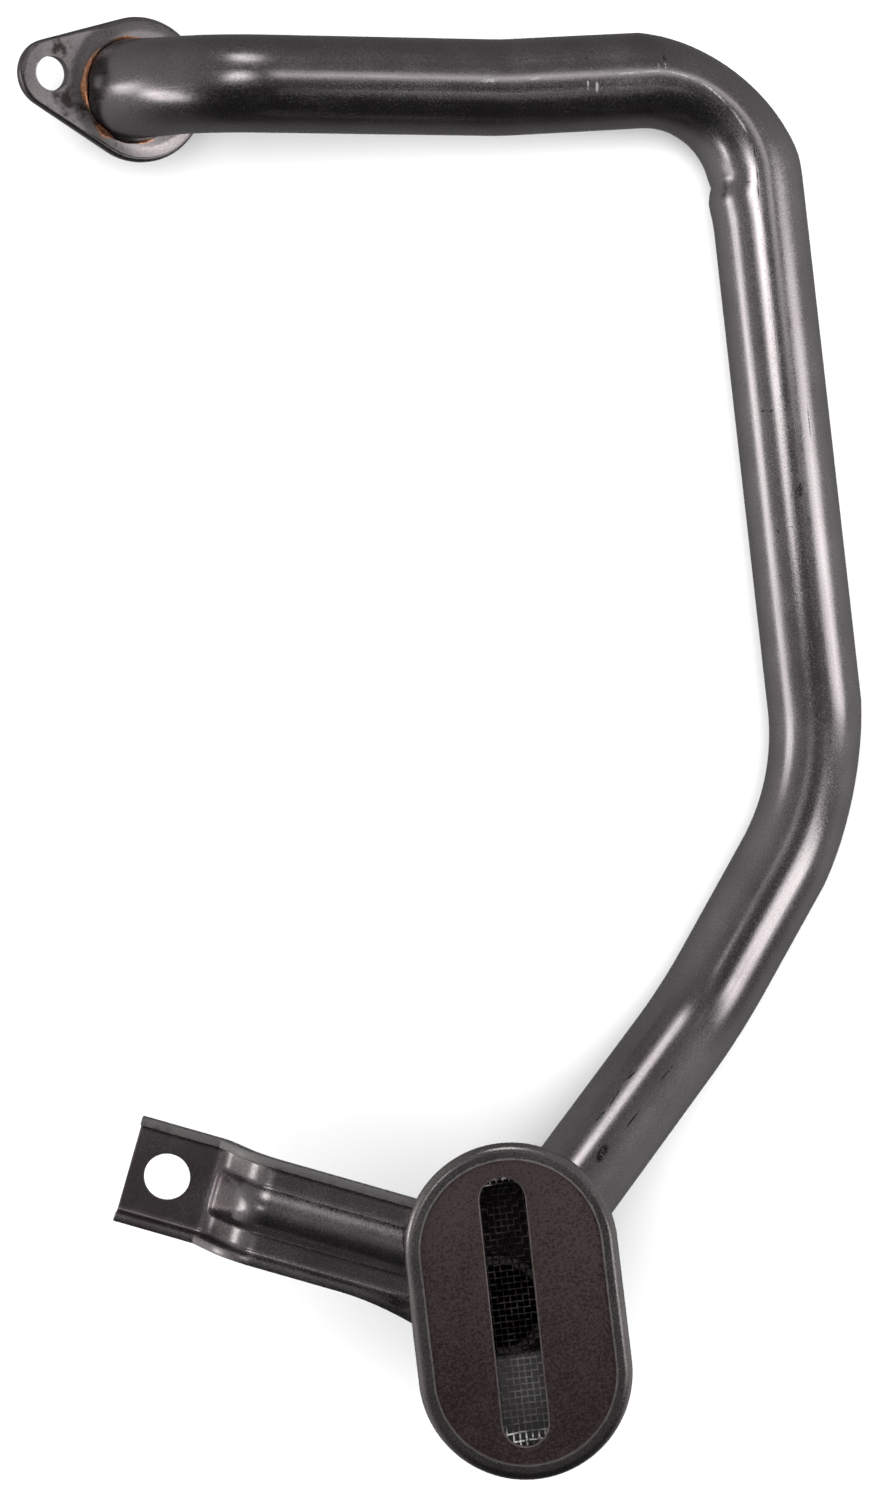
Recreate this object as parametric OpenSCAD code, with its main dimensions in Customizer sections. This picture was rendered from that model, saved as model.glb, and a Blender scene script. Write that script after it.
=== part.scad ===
// Oil pickup tube: a bent steel suction tube with a bolted pump flange at one end,
// a strainer head at the other end and a stamped support bracket on the head.
// It lies on its back, as it comes to rest on a table. +Z is up, +Y runs towards the
// flange end, and the origin is the centre of the flange's mating face.

/* [Tube] */
// Outside diameter of the tube
tube_d = 19.05; // [16:0.05:22]
// Wall thickness of the tube
tube_wall = 1.5; // [1:0.1:2.5]
// Metal drawn off the surface in bends
bend_thinning = 0.04; // [0.03:0.01:0.08]

/* [Route] */
// Stub from the mating face to the corner of the flange elbow
stub_len = 20.9; // [20.5:0.1:30]
// Heading of the stub, seen from above
stub_heading = -10.4; // [-25:0.1:0]
// Climb of the stub from the floor
stub_climb = 59.6; // [45:0.1:65]
// Top run from the flange elbow to its slight kink
top_run_len = 64.5; // [45:0.5:100]
// Heading of the top run
top_run_heading = 1.7; // [-5:0.1:5]
// Climb of the top run, which comes down from the elbow
top_run_climb = -13.8; // [-16:0.1:-5]
// Top run from its kink to the corner
kink_run_len = 51.2; // [40:0.5:90]
// Heading after the kink
kink_run_heading = 5.3; // [3:0.1:9]
// Climb after the kink
kink_run_climb = -12; // [-18:0.1:-8]
// Side run, which lies on the floor
side_run_len = 146.3; // [90:0.5:220]
// Heading of the side run
side_run_heading = -83.6; // [-95:0.1:-75]
// Diagonal after the knee, which lies on the floor too
diagonal_len = 51.8; // [40:0.5:90]
// Heading of the diagonal
diagonal_heading = -119; // [-130:0.5:-105]
// Lower run, which climbs from the floor to the head
lower_run_len = 72; // [55:0.5:110]
// Heading of the lower run
lower_run_heading = -128.7; // [-140:0.1:-122]
// Climb of the lower run
lower_run_climb = 21.5; // [10:0.5:40]

/* [Bends, to the tube's centre line] */
// Radius of the elbow over the flange
elbow_r = 21.5; // [18:0.5:22]
// Radius of the slight kink in the top run
kink_r = 60; // [30:1:100]
// Radius of the corner between the top run and the side run
corner_r = 22.4; // [18:0.1:30]
// Radius of the knee between the side run and the diagonal
knee_r = 54; // [30:1:80]
// Radius where the tube leaves the floor
lift_r = 45; // [25:1:70]
// Radius of the bend under the head
head_bend_r = 22.4; // [18:0.1:26]

/* [Spigot] */
// Diameter of the sized end that goes into the pump
spigot_d = 18.6; // [15:0.05:18.6]
// Length of the spigot beyond the mating face
spigot_len = 15.2; // [6:0.1:25]
// Chamfer round the spigot's mouth
spigot_chamfer = 0.6; // [0.2:0.1:1]

/* [Pump flange] */
// Thickness of the flange
flange_t = 2; // [1.5:0.1:2.6]
// Radius of the round part of the flange
flange_r = 14.4; // [13.8:0.1:18]
// Distance from the tube to the bolt hole
ear_reach = 19.5; // [17.5:0.1:30]
// Direction of the ear in the flange's own plane
ear_turn = 185; // [160:1:210]
// Radius of the ear's end
ear_r = 6.8; // [5.5:0.1:9]
// Diameter of the bolt hole
flange_hole_d = 6.8; // [5:0.1:9]
// Radius of the round pad pressed up round the tube
pad_r = 13.4; // [12.9:0.1:13.8]
// Height of the pad, and depth of the seat pressed into the mating face
pad_h = 0.5; // [0.2:0.1:0.8]
// Radius of the seal seat in the mating face
seat_r = 12.4; // [11:0.1:12.8]

/* [Pickup head] */
// Length of the head over its hem
head_l = 63.1; // [52:0.5:90]
// Width of the head over its hem
head_w = 40; // [36:0.5:50]
// Depth of the head from its rim to its back
head_depth = 15; // [12:0.5:24]
// Turn of the head about the upright tube end
head_turn = 6.8; // [-10:0.1:20]
// Sideways place of the tube in the head's back
port_x = -3.5; // [-4:0.1:4]
// Lengthwise place of the tube in the head's back
port_y = -0.4; // [-8:0.1:8]
// Sheet thickness of the pressed shell
shell_t = 1; // [0.8:0.1:1.4]
// Width of the hem that folds over the inlet plate
hem_w = 3.1; // [2.6:0.1:4]
// Inset of the shell's wall from the outside of the hem
wall_inset = 3.6; // [3:0.1:4.5]
// Outer radius round the shell's back edge
back_edge_r = 4; // [2.5:0.1:4.4]
// Length of the drawn neck on the shell's back
neck_len = 3; // [1.5:0.1:6]
// How far the tube stands into the head
tube_stand_in = 1.5; // [0.5:0.1:2.5]

/* [Inlet plate] */
// Thickness of the inlet plate
plate_t = 1; // [0.6:0.1:1.4]
// Length of the inlet slot
slot_l = 50.3; // [30:0.1:50.5]
// Width of the inlet slot
slot_w = 8.5; // [5:0.1:14]
// Sideways place of the slot in the plate
slot_x = -0.8; // [-3:0.1:3]
// Turn of the slot against the head's length
slot_turn = -0.8; // [-4:0.1:4]

/* [Strainer screen] */
// Thickness of the screen
screen_t = 0.4; // [0.3:0.05:0.6]
// Depth of the screen's dish below its rim
dish_depth = 7; // [4:0.1:8]
// Half width of the dish at its mouth
dish_mouth_r = 14; // [12.5:0.1:15]
// Half width of the dish at its floor
dish_floor_r = 10.8; // [10.5:0.1:11.5]
// Spacing of the coarse weave
weave_pitch = 2.3; // [2:0.05:2.35]
// Gap between the wires of the coarse weave
weave_gap = 1.5; // [0.8:0.05:1.6]
// Number of gaps across the dish's floor
weave_columns = 7; // [5:1:7]
// Radius of the ridges that stand for the wires
ridge_r = 0.18; // [0.1:0.01:0.19]

/* [Support bracket] */
// Sheet thickness of the bracket
bracket_t = 1.5; // [1.2:0.1:2]
// Width of the bracket over its side flanges
bracket_w = 20.4; // [18:0.1:24]
// Height of the side flanges above the sheet
side_flange_h = 4; // [3:0.1:4.4]
// Inside radius of the folds
fold_r = 1; // [0.6:0.1:1.6]
// Length from the bracket's end to the head's hem
bracket_len = 54.6; // [48:0.1:90]
// Length of the flat with the bolt hole
flat_len = 17.6; // [14:0.1:20]
// Length of the joggle, measured along the bracket
joggle_run = 7; // [6:0.1:10]
// Height that the joggle gains towards the head
joggle_rise = 7.5; // [3:0.1:8]
// Radius of the joggle's two bends
joggle_r = 6; // [5:0.1:6.5]
// Diameter of the bracket's bolt hole
bracket_hole_d = 8.9; // [6:0.1:11]
// Distance from the bracket's end to the hole
bracket_hole_in = 7.4; // [6:0.1:9]
// Width of the round rib along the bracket
rib_w = 9; // [7:0.1:10]
// Height of the rib
rib_h = 2.2; // [1.6:0.1:2.5]
// Height of the rib at the foot of the joggle, where it fades into the flat
rib_foot_h = 0.9; // [0.6:0.1:1.4]
// Distance of the rib's far end from the hem
rib_end = 5; // [4:0.1:9]
// Depth of the bracket's sheet below the head's rim
bracket_drop = 9; // [8.8:0.1:9.4]
// Place along the head where the bracket meets the hem
bracket_y = 12.7; // [4:0.1:16]
// Heading of the bracket against the head's width
bracket_turn = -22.7; // [-35:0.1:0]
// Gap between the hem and the tab that hugs the shell
tab_gap = 1.2; // [0.8:0.1:2]

/* [Braze] */
// Leg of the braze fillet at the flange
flange_braze_leg = 1.5; // [0.8:0.1:1.5]
// Leg of the braze fillet at the neck
neck_braze_leg = 1; // [0.6:0.1:1.4]

/* [Fits] */
// Gap filled by braze between the tube and the pieces it passes through
braze_gap = 0.05; // [0.02:0.01:0.15]
// Gap round the plate and the screen inside the hem
hem_gap = 0.1; // [0.05:0.05:0.3]

/* [Hidden] */
$fn = 96;

// Colours
steel = [0.36, 0.34, 0.34];
dark_steel = [0.24, 0.21, 0.21];
wire_steel = [0.30, 0.30, 0.30];
copper = [0.72, 0.42, 0.26];

// Cuts run this far past what they cut, and bends this far into the straights
cut = 1;
bend_run_in = 0.3;
// A leg that rises more than this is steep, and takes its side from the level axis
steep = 0.9;

tube_r = tube_d / 2;
bore_r = tube_r - tube_wall;
spigot_r = spigot_d / 2;
port_r = tube_r + braze_gap;

// The route as legs between corners
UP = [0, 0, 1];
function pointing(heading, climb) =
  [cos(climb) * cos(heading), cos(climb) * sin(heading), sin(climb)];
function unit(v) = v / norm(v);
function turn_between(a, b) = acos(a * b);
function tangent_len(a, b, r) = r * tan(turn_between(a, b) / 2);
leg_dirs = [
  pointing(stub_heading, stub_climb),
  pointing(top_run_heading, top_run_climb),
  pointing(kink_run_heading, kink_run_climb),
  pointing(side_run_heading, 0),
  pointing(diagonal_heading, 0),
  pointing(lower_run_heading, lower_run_climb),
  UP
];
bend_radii = [elbow_r, kink_r, corner_r, knee_r, lift_r, head_bend_r];
head_bend_len = tangent_len(leg_dirs[5], UP, head_bend_r);
neck_leg = min(neck_braze_leg, shell_t);
neck_end_z = head_bend_len + neck_leg;
back_z = neck_end_z + neck_len;
riser_len = back_z + shell_t + tube_stand_in;
leg_lens = [stub_len, top_run_len, kink_run_len, side_run_len, diagonal_len, lower_run_len, riser_len];
function route_corner(i) =
  i == 0 ? [0, 0, 0] : route_corner(i - 1) + leg_lens[i - 1] * leg_dirs[i - 1];
last_bend = len(bend_radii) - 1;
function bend_len(i) =
  i < 0 || i > last_bend ? 0 : tangent_len(leg_dirs[i], leg_dirs[i + 1], bend_radii[i]);

// The head's own values, with its rim face at height 0
head_r = head_w / 2;
half_straight = head_l / 2 - head_r;
hem_h = 2 * shell_t + plate_t + screen_t;
hem_fold_r = hem_h / 2;
hem_seat_r = head_r - hem_fold_r;
wall_r = head_r - wall_inset;
insert_r = hem_seat_r - hem_gap;
plate_top = -shell_t;
plate_bottom = plate_top - plate_t;
screen_rim_bottom = plate_bottom - screen_t;
dish_floor = plate_bottom - dish_depth;
under_bend = route_corner(6);

// The bracket's own values, with its sheet's top at height 0
fold_out_r = fold_r + bracket_t;
joggle_angle = atan2(joggle_rise, joggle_run);
rib_r = (rib_w * rib_w / 4 + rib_h * rib_h) / (2 * rib_h);
tab_top = -hem_h - tab_gap;
sheet_z = -bracket_drop;
bracket_x = -head_r;
across = [0, 1, 0];
level = [1, 0, 0];
ramp = [cos(joggle_angle), 0, sin(joggle_angle)];
flat_end = [-bracket_len, 0, -joggle_rise];
joggle_foot = flat_end + flat_len * level;
joggle_top = joggle_foot + [joggle_run, 0, joggle_rise];
body_end = [wall_inset + bracket_w, 0, 0];
joggle_len = joggle_r * tan(joggle_angle / 2);
// Part of the fold's radius, from and to, over which braze fills the groove under the tab
groove_share = [0.24, 0.96];

// Frames
function axes_at(origin, x, y, z) = [
  [x[0], y[0], z[0], origin[0]],
  [x[1], y[1], z[1], origin[1]],
  [x[2], y[2], z[2], origin[2]],
  [0, 0, 0, 1]
];
function frame_at(origin, x, y) = axes_at(origin, x, y, cross(x, y));

// A flat profile pushed from one point to another, with its Y side facing up
module pushed(from, to, up) {
  along = unit(to - from);
  multmatrix(frame_at(from, cross(up, along), up))
    linear_extrude(norm(to - from)) children();
}

// A profile swung round a bend, running a little way into the straights at both ends.
// The profile is given at its distance from the bend's axis.
module swung(corner, before, after, r) {
  inward = unit(after - before * (before * after));
  start = corner - before * tangent_len(before, after, r);
  run_in = bend_run_in / r * 180 / PI;
  multmatrix(frame_at(start + inward * r, -inward, before))
    rotate(-run_in) rotate_extrude(angle = turn_between(before, after) + 2 * run_in) children();
}

// A concave fillet in the corner of two faces
module fillet_profile(leg) {
  difference() {
    square(leg);
    translate([leg, leg]) circle(leg);
  }
}

// Suction tube: round bars along the route, less thinner bars for the bore
module tube_leg(i, r, past_end) {
  run_out = i > last_bend ? past_end : -bend_len(i);
  from = route_corner(i) + leg_dirs[i] * bend_len(i - 1);
  to = route_corner(i + 1) + leg_dirs[i] * run_out;
  side = unit(cross(leg_dirs[i], abs(leg_dirs[i][2]) < steep ? UP : level));
  pushed(from, to, side) circle(r);
}

module tube_bend(i, r) {
  swung(route_corner(i + 1), leg_dirs[i], leg_dirs[i + 1], bend_radii[i])
    translate([bend_radii[i], 0]) circle(r - bend_thinning);
}

module tube_route(r, past_end = 0) {
  for (i = [0 : last_bend + 1]) tube_leg(i, r, past_end);
  for (i = [0 : last_bend]) tube_bend(i, r);
}

// The end that goes into the pump is drawn down to a smaller size with the same wall
module spigot() {
  straight_len = spigot_len - spigot_chamfer;
  in_flange() {
    translate([0, 0, -straight_len]) cylinder(h = straight_len + bend_run_in, r = spigot_r);
    translate([0, 0, -spigot_len])
      cylinder(h = spigot_chamfer, r1 = spigot_r - spigot_chamfer, r2 = spigot_r);
  }
}

module spigot_bore() {
  in_flange() translate([0, 0, -spigot_len - cut])
    cylinder(h = spigot_len + cut + bend_run_in, r = spigot_r - tube_wall);
}

module suction_tube() {
  color(steel) difference() {
    union() {
      tube_route(tube_r);
      spigot();
    }
    tube_route(bore_r, cut);
    spigot_bore();
  }
}

// Pump flange: its own frame has the mating face at height 0 and the tube going up
module in_flange() {
  multmatrix(axes_at([0, 0, 0],
                     pointing(stub_heading, stub_climb - 90),
                     cross(leg_dirs[0], pointing(stub_heading, stub_climb - 90)),
                     leg_dirs[0])) children();
}

module flange_outline() {
  lean = asin((flange_r - ear_r) / ear_reach);
  circle(flange_r);
  rotate(ear_turn) {
    translate([ear_reach, 0]) circle(ear_r);
    polygon([
      [0, 0],
      flange_r * [sin(lean), cos(lean)],
      [ear_reach, 0] + ear_r * [sin(lean), cos(lean)],
      [ear_reach, 0],
      [ear_reach, 0] + ear_r * [sin(lean), -cos(lean)],
      flange_r * [sin(lean), -cos(lean)]
    ]);
  }
}

module pump_flange() {
  color(steel) in_flange() difference() {
    union() {
      linear_extrude(flange_t) flange_outline();
      cylinder(h = flange_t + pad_h, r = pad_r);
    }
    translate([0, 0, -cut]) cylinder(h = flange_t + pad_h + 2 * cut, r = port_r);
    translate([0, 0, -cut]) cylinder(h = pad_h + cut, r = seat_r);
    rotate(ear_turn) translate([ear_reach, 0, -cut])
      cylinder(h = flange_t + 2 * cut, d = flange_hole_d);
  }
}

module flange_braze() {
  color(copper) in_flange() translate([0, 0, flange_t + pad_h])
    rotate_extrude() translate([tube_r, 0]) fillet_profile(flange_braze_leg);
}

// Head: its own frame has the rim face at height 0 and its length along Y
module in_head() {
  translate([under_bend[0], under_bend[1], under_bend[2] + back_z + head_depth])
    rotate(head_turn) translate([-port_x, -port_y]) children();
}

// A profile carried round the head's straight-sided oval
module carried_round(straight = half_straight) {
  for (turn = [0, 180]) rotate(turn) {
    translate([0, straight]) rotate_extrude(angle = 180) children();
    translate([0, straight]) rotate([90, 0, 0]) linear_extrude(2 * straight) children();
  }
}

module oval(r, straight) {
  square([2 * r, 2 * straight], center = true);
  for (end = [-straight, straight]) translate([0, end]) circle(r);
}

module quarter_ring(outer, inner, turn) {
  rotate(turn) intersection() {
    difference() {
      circle(outer);
      circle(inner);
    }
    square(outer + cut);
  }
}

module shell_profile() {
  hem_in = head_r - hem_w;
  translate([hem_in, -shell_t]) square([hem_seat_r - hem_in, shell_t]);
  translate([hem_seat_r, -hem_fold_r]) {
    quarter_ring(hem_fold_r, hem_fold_r - shell_t, 0);
    quarter_ring(hem_fold_r, hem_fold_r - shell_t, -90);
  }
  translate([wall_r - shell_t, -hem_h]) square([hem_seat_r - wall_r + shell_t, shell_t]);
  translate([wall_r - shell_t, -head_depth + back_edge_r])
    square([shell_t, head_depth - back_edge_r - hem_h + shell_t]);
  translate([wall_r - back_edge_r, -head_depth + back_edge_r])
    quarter_ring(back_edge_r, back_edge_r - shell_t, -90);
  translate([0, -head_depth]) square([wall_r - back_edge_r, shell_t]);
}

module pickup_shell() {
  neck_r = port_r + shell_t;
  color(steel) in_head() difference() {
    union() {
      carried_round() shell_profile();
      translate([port_x, port_y, -head_depth - neck_len]) cylinder(h = neck_len + shell_t, r = neck_r);
      translate([port_x, port_y, -head_depth]) mirror([0, 0, 1])
        rotate_extrude() translate([neck_r, 0]) fillet_profile(shell_t);
    }
    translate([port_x, port_y, -head_depth - neck_len - cut])
      cylinder(h = neck_len + shell_t + 2 * cut, r = port_r);
  }
}

module inlet_plate() {
  slot_r = slot_w / 2;
  color(dark_steel) in_head() translate([0, 0, plate_bottom]) difference() {
    linear_extrude(plate_t) oval(insert_r, half_straight);
    translate([slot_x, 0, -cut]) rotate(slot_turn) linear_extrude(plate_t + 2 * cut)
      oval(slot_r, slot_l / 2 - slot_r);
  }
}

// Strainer screen: a dished sheet whose floor carries the weave as ridges and gaps
module screen_profile() {
  wall_angle = atan2(dish_depth, dish_mouth_r - dish_floor_r);
  mitre = screen_t * tan(wall_angle / 2);
  polygon([
    [0, dish_floor],
    [dish_floor_r, dish_floor],
    [dish_mouth_r, plate_bottom],
    [insert_r, plate_bottom],
    [insert_r, screen_rim_bottom],
    [dish_mouth_r + mitre, screen_rim_bottom],
    [dish_floor_r + mitre, dish_floor - screen_t],
    [0, dish_floor - screen_t]
  ]);
}

module strainer_screen() {
  weave_reach = half_straight + dish_floor_r / 2;
  rows = floor(2 * weave_reach / weave_pitch);
  weave_w = weave_columns * weave_pitch;
  weave_l = rows * weave_pitch;
  color(wire_steel) in_head() {
    difference() {
      carried_round() screen_profile();
      translate([0, 0, dish_floor - screen_t - cut]) linear_extrude(screen_t + 2 * cut)
        for (column = [0 : weave_columns - 1], row = [0 : rows - 1])
          translate([(column + 0.5) * weave_pitch - weave_w / 2, (row + 0.5) * weave_pitch - weave_l / 2])
            square(weave_gap, center = true);
    }
    for (column = [0 : weave_columns])
      translate([column * weave_pitch - weave_w / 2, weave_l / 2, dish_floor])
        rotate([90, 0, 0]) cylinder(h = weave_l, r = ridge_r);
    for (row = [0 : rows])
      translate([-weave_w / 2, row * weave_pitch - weave_l / 2, dish_floor - screen_t])
        rotate([0, 90, 0]) cylinder(h = weave_w, r = ridge_r);
  }
}

module neck_braze() {
  color(copper) translate([under_bend[0], under_bend[1], under_bend[2] + neck_end_z])
    mirror([0, 0, 1]) rotate_extrude() translate([tube_r, 0]) fillet_profile(neck_leg);
}

// Support bracket: its own frame has the sheet's top at height 0 and the head ahead along X
module in_bracket() {
  in_head() translate([bracket_x, bracket_y, sheet_z]) rotate(bracket_turn) children();
}

module bracket_section(thinning = 0) {
  fold_x = bracket_w / 2 - fold_out_r;
  sheet = bracket_t - 2 * thinning;
  translate([-fold_x, thinning - bracket_t]) square([2 * fold_x, sheet]);
  for (side = [0, 1]) mirror([side, 0]) {
    translate([fold_x, fold_r]) quarter_ring(fold_out_r - thinning, fold_r + thinning, -90);
    translate([bracket_w / 2 - bracket_t + thinning, fold_r])
      square([sheet, side_flange_h - fold_r - thinning]);
  }
}

module bracket_run() {
  ramp_up = cross(ramp, across);
  pushed(flat_end, joggle_foot - level * joggle_len, UP) bracket_section();
  swung(joggle_foot, level, ramp, joggle_r)
    translate([joggle_r, 0]) rotate(90) bracket_section(bend_thinning);
  pushed(joggle_foot + ramp * joggle_len, joggle_top - ramp * joggle_len, ramp_up) bracket_section();
  swung(joggle_top, ramp, level, joggle_r)
    translate([joggle_r, 0]) rotate(-90) bracket_section(bend_thinning);
  pushed(joggle_top + level * joggle_len, body_end, UP) bracket_section();
}

// The rib is a round bar with ball ends, sunk so that only its crown stands up.
// It comes along the body and runs down the joggle.
module rib_form(r) {
  sunk = rib_h - rib_r;
  crest = joggle_top + UP * sunk;
  foot = joggle_foot + cross(ramp, across) * (rib_foot_h - rib_r);
  translate(crest) rotate([0, 90, 0]) cylinder(h = -rib_end - crest[0], r = r);
  pushed(foot, crest, across) circle(r - bend_thinning);
  for (ball = [foot, crest, [-rib_end, 0, sunk]]) translate(ball) sphere(r);
}

// All that lies above the middle of the bracket's sheet
module above_sheet() {
  middle = -UP * bracket_t / 2;
  line = [for (p = [flat_end, joggle_foot, joggle_top, [0, 0, 0]]) p + middle];
  translate([0, bracket_w / 2, 0]) rotate([90, 0, 0]) linear_extrude(bracket_w)
    polygon([
      for (p = line) [p[0], p[2]],
      [0, rib_h + cut],
      [-bracket_len, rib_h + cut]
    ]);
}

// The end of the bracket is turned up into a tab that hugs the shell's wall
module tab_profile() {
  fold_at = wall_r + fold_out_r;
  translate([wall_r, sheet_z + fold_r]) square([bracket_t, tab_top - sheet_z - fold_r]);
  translate([fold_at, sheet_z + fold_r]) quarter_ring(fold_out_r, fold_r, 180);
  translate([fold_at, sheet_z - bracket_t]) square([fold_out_r, bracket_t]);
}

// The band of the head's wall that the bracket's width covers, narrower by a margin
module bracket_band(margin) {
  in_bracket() translate([-head_r / 2, -bracket_w / 2 + margin, -head_depth])
    cube([head_r / 2 + body_end[0], bracket_w - 2 * margin, 2 * head_depth]);
}

module support_bracket() {
  color(steel) difference() {
    union() {
      difference() {
        union() {
          in_bracket() bracket_run();
          in_bracket() intersection() {
            rib_form(rib_r);
            above_sheet();
          }
        }
        in_head() translate([0, 0, -head_depth]) linear_extrude(2 * head_depth)
          oval(wall_r + fold_out_r, half_straight);
      }
      intersection() {
        in_head() carried_round() tab_profile();
        bracket_band(0);
      }
    }
    in_bracket() rib_form(rib_r - bracket_t);
    in_bracket() translate(flat_end + [bracket_hole_in, 0, -bracket_t - cut])
      cylinder(h = bracket_t + 2 * cut, d = bracket_hole_d);
  }
}

// Braze drawn into the groove between the tab's fold and the shell's wall
module bracket_braze() {
  groove_h = groove_share[1] * fold_out_r;
  groove_start = groove_share[0] * fold_out_r;
  groove_w = fold_out_r - sqrt(fold_out_r * fold_out_r - groove_h * groove_h);
  color(copper) intersection() {
    in_head() carried_round() translate([wall_r, sheet_z + fold_r]) difference() {
      translate([0, -groove_h]) square([groove_w, groove_h - groove_start]);
      translate([fold_out_r, 0]) circle(fold_out_r);
    }
    bracket_band(bracket_t);
  }
}

suction_tube();
pump_flange();
flange_braze();
pickup_shell();
inlet_plate();
strainer_screen();
neck_braze();
support_bracket();
bracket_braze();
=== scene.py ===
"""The looks of the oil pickup tube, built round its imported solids."""

from collections import namedtuple
import math

import bmesh
import bpy
from mathutils import Matrix, Quaternion, Vector, noise
from mathutils.bvhtree import BVHTree


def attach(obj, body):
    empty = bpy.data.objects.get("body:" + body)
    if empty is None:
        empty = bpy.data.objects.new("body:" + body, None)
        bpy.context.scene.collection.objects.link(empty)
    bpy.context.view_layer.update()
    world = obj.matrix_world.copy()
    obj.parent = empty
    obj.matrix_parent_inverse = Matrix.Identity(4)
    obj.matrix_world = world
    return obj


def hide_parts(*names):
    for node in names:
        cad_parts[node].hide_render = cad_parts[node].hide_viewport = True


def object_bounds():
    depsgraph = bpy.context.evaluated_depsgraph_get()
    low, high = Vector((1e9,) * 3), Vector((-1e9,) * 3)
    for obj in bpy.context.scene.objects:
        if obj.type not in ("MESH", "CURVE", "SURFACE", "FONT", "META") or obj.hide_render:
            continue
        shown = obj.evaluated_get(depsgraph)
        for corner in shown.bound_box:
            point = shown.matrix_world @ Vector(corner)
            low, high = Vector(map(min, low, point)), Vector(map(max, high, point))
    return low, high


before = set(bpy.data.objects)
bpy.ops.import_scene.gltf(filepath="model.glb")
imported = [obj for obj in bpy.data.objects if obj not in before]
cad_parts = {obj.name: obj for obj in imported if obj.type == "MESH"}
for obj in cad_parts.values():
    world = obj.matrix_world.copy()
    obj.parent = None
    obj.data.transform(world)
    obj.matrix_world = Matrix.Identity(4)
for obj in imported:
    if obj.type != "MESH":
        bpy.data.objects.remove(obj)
cad_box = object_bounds()

MM = 0.001
UP = Vector((0, 0, 1))
FLOOR_Z = cad_box[0].z

# The camera, straight above as the photo was taken; pixels below are in the photo's own frame
CAMERA_PLACE = Vector((61.4, -132.9, 692)) * MM
CAMERA_LENS = 82.46
SENSOR = 36
PHOTO_W = 884
PHOTO_H = 1500

# The tube, in millimetres and degrees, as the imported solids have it
TUBE_R = 9.525
TUBE_WALL = 1.5
SPIGOT_R = 9.3
SPIGOT_LEN = 15.2
SPIGOT_CHAMFER = 0.6
# Each leg as length, heading and climb
STUB = (20.9, -10.4, 59.6)
TOP_RUN = (64.5, 1.7, -13.8)
KINK_RUN = (51.2, 5.3, -12)
SIDE_RUN = (146.3, -83.6, 0)
DIAGONAL = (51.8, -119, 0)
LOWER_RUN = (72, -128.7, 21.5)
ELBOW_R = 21.5
KINK_R = 60
CORNER_R = 22.4
KNEE_R = 54
LIFT_R = 45
HEAD_BEND_R = 22.4
# The tube ends this far above the corner under the head
RISER_LEN = 21.76

# The strainer head, with its length along its own Y
HEAD_TURN = math.radians(6.8)
HEAD_R = 20
HALF_STRAIGHT = 11.55
PORT_X = -3.5
PORT_Y = -0.4


def pointing(heading, climb):
    """Direction of a leg from its heading and climb."""
    h = math.radians(heading)
    c = math.radians(climb)
    return Vector((math.cos(c) * math.cos(h), math.cos(c) * math.sin(h), math.sin(c)))


LEGS = [STUB, TOP_RUN, KINK_RUN, SIDE_RUN, DIAGONAL, LOWER_RUN]
LEG_DIRS = [pointing(heading, climb) for _, heading, climb in LEGS] + [UP]
LEG_LENS = [length for length, _, _ in LEGS] + [RISER_LEN]
BEND_RADII = [ELBOW_R, KINK_R, CORNER_R, KNEE_R, LIFT_R, HEAD_BEND_R]


def route_corners():
    """The points where the tube's straight legs would meet, in millimetres."""
    corners = [Vector((0, 0, 0))]
    for direction, length in zip(LEG_DIRS, LEG_LENS):
        corners.append(corners[-1] + direction * length)
    return corners


CORNERS = route_corners()
UNDER_HEAD = CORNERS[6]


def bend_tangent(i):
    """Distance from corner i + 1 to the ends of its bend, in millimetres."""
    if not 0 <= i < len(BEND_RADII):
        return 0
    return BEND_RADII[i] * math.tan(LEG_DIRS[i].angle(LEG_DIRS[i + 1]) / 2)


Stretch = namedtuple("Stretch", "start heading side length radius inward begin")
TubePlace = namedtuple("TubePlace", "stretch run along heading inward offset angle")


def route_stretches():
    """The straights and bends of the tube's middle line, with a side direction carried along it."""
    stretches = []
    side = LEG_DIRS[0].orthogonal().normalized()
    start = LEG_DIRS[0] * -SPIGOT_LEN
    begin = -SPIGOT_LEN
    for i, heading in enumerate(LEG_DIRS):
        end = CORNERS[i + 1] - heading * bend_tangent(i)
        length = (end - start).length
        stretches.append(Stretch(start, heading, side, length, 0, side, begin))
        begin += length
        if i == len(BEND_RADII):
            break
        ahead = LEG_DIRS[i + 1]
        turn = heading.angle(ahead)
        inward = (ahead - heading * heading.dot(ahead)).normalized()
        arc = BEND_RADII[i] * turn
        stretches.append(Stretch(end, heading, side, arc, BEND_RADII[i], inward, begin))
        begin += arc
        start = CORNERS[i + 1] + ahead * bend_tangent(i)
        side = Quaternion(heading.cross(inward), turn) @ side
    return stretches


STRETCHES = route_stretches()


def place_on(stretch, point):
    """A point's place by one stretch: how far along it, and its offset from the middle line."""
    if stretch.radius == 0:
        run = (point - stretch.start).dot(stretch.heading)
        middle = stretch.start + stretch.heading * run
        heading, side, inward = stretch.heading, stretch.side, stretch.inward
    else:
        centre = stretch.start + stretch.inward * stretch.radius
        arm = point - centre
        swing = math.atan2(arm.dot(stretch.heading), -arm.dot(stretch.inward))
        turn = Quaternion(stretch.heading.cross(stretch.inward), swing)
        run = swing * stretch.radius
        heading, side, inward = (turn @ v for v in (stretch.heading, stretch.side, stretch.inward))
        middle = centre - inward * stretch.radius
    offset = point - middle
    angle = math.atan2(offset.dot(heading.cross(side)), offset.dot(side))
    return TubePlace(stretch, run, stretch.begin + run, heading, inward, offset, angle)


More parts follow.
